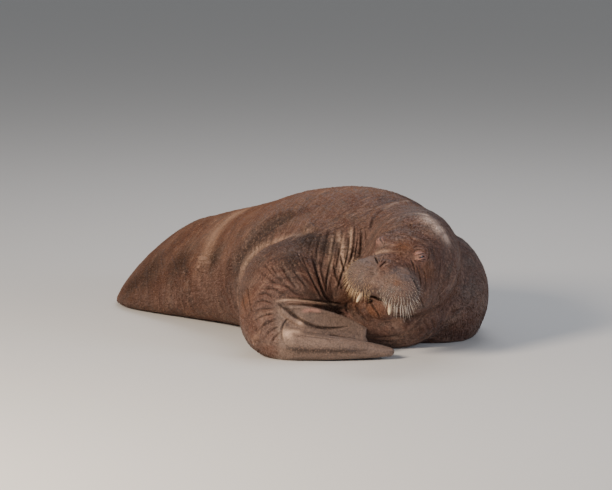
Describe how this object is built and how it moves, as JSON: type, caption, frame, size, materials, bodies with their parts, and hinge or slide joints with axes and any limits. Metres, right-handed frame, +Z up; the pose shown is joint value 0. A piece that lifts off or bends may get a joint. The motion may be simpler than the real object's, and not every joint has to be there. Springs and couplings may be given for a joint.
{
  "type": "walrus",
  "caption": "Young walrus asleep on its belly, head turned over one folded fore flipper, short tusks and stiff whiskers.",
  "frame": {"origin": "middle of the underside: the centre of the bounding box in plan, on the floor", "axes": "+Z up; the picture's view looks along +Y; the body's length runs towards +Y, the head is at -Y, and +X is to the right in the picture"},
  "size_m": [1.313, 2.0786, 0.512],
  "materials": {
    "coat": "short, close, reddish-brown fur over wrinkled hide",
    "muzzle_skin": "matt greyish-brown skin set with stiff pale whiskers",
    "flipper_skin": "bare, grained, grey-brown skin",
    "tusk_ivory": "smooth cream ivory",
    "eye": "wet, dark brown"
  },
  "bodies": {
    "root": {"head": "coat", "neck": "coat", "chest": "coat", "belly": "coat", "hips": "coat", "tail": "coat", "fore_arm_right": "coat", "fore_arm_left": "coat", "muzzle": "muzzle_skin", "lower_jaw": "muzzle_skin", "fore_flipper_right": "flipper_skin", "fore_flipper_left": "flipper_skin", "hind_flipper_right": "flipper_skin", "hind_flipper_left": "flipper_skin", "tusk_left": "tusk_ivory", "tusk_right": "tusk_ivory", "eye_left": "eye", "eye_right": "eye"}
  },
  "joints": []
}
